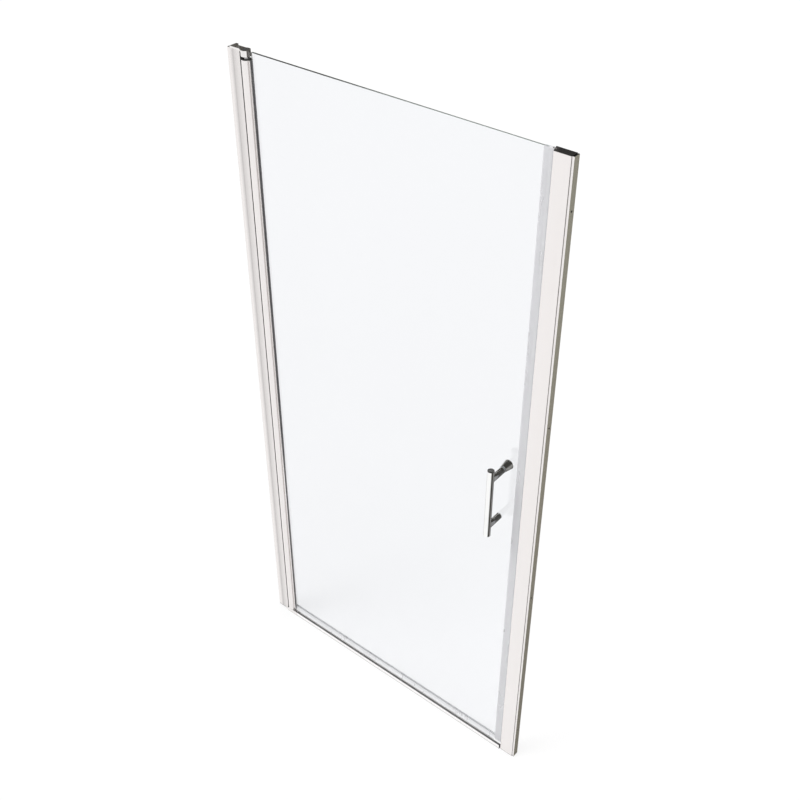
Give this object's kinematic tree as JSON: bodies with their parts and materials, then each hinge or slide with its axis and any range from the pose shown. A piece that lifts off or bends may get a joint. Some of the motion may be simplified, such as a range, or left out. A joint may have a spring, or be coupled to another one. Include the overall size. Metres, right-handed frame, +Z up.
{
  "type": "pivot shower door",
  "caption": "Alcove pivot shower door: framed clear glass leaf on a rising pivot column, bright aluminium wall profiles, magnetic closing post, threshold strip and bar handle.",
  "frame": {"origin": "on the pivot axis of the leaf, at the level of the shower tray (underside of the bottom bracket)", "axes": "+X from the pivot to the closing side along the opening, +Y into the shower, +Z up along the pivot axis"},
  "size_m": [0.955, 0.0897, 1.905],
  "materials": {
    "aluminium": "bright polished and anodised",
    "bracket_metal": "polished casting",
    "glass": "clear safety glass",
    "clear_seal": "clear soft plastic",
    "carrier_plastic": "pale plastic",
    "magnet": "flexible magnet strip",
    "rubber": "matt dark grey",
    "washer_plastic": "translucent plastic",
    "dark_plastic": "moulded, fine grain",
    "acetal": "moulded, self-lubricating",
    "steel": "stainless",
    "chromed_plastic": "chromed plastic",
    "chrome": "polished chrome"
  },
  "bodies": {
    "frame": {"hinge_wall_channel": "aluminium", "strike_wall_channel": "aluminium", "hinge_post": "aluminium", "strike_post": "aluminium", "threshold_strip": "aluminium", "top_pivot_bracket": "bracket_metal", "bottom_pivot_bracket": "bracket_metal", "strike_magnet_carrier": "carrier_plastic", "strike_magnet_strip": "magnet", "hinge_gap_seal": "rubber", "strike_post_cap": "dark_plastic", "threshold_end_cap": "dark_plastic", "top_bracket_cap": "dark_plastic", "lower_cam": "acetal", "top_pivot_bush": "acetal", "top_bracket_screws": "steel", "bottom_bracket_screws": "steel", "bottom_pivot_pin": "steel", "hinge_locking_screws": "steel", "strike_locking_screws": "steel", "hinge_screw_caps": "chromed_plastic", "strike_screw_caps": "chromed_plastic"},
    "top_pin": {"top_pivot_pin": "steel"},
    "leaf": {"pivot_column": "aluminium", "column_bottom_plug": "acetal", "column_top_plug": "dark_plastic", "glass_panel": "glass", "glass_gasket_front": "rubber", "glass_gasket_back": "clear_seal", "leaf_magnet_seal": "clear_seal", "leaf_magnet_strip": "magnet", "bottom_drip_seal": "clear_seal", "handle_bar": "chrome", "handle_standoffs": "chrome", "handle_bar_studs": "steel", "handle_glass_screw": "steel", "knob_stud": "steel", "handle_outer_washers": "washer_plastic", "knob_washer": "washer_plastic", "handle_hole_sleeves": "carrier_plastic", "inner_knob": "chrome"}
  },
  "joints": [
    {"name": "door_swing", "type": "hinge", "parent": "frame", "child": "top_pin", "pos_m": [0, 0, 0], "axis": [0, 0, -1], "range_deg": [0, 90]},
    {"name": "door_rise", "type": "slide", "parent": "top_pin", "child": "leaf", "axis": [0, 0, 1], "range_m": [0, 0.005]}
  ],
  "couplings": [
    {"joint": "door_rise", "follows": "door_swing", "m_per_rad": 0.003183}
  ]
}
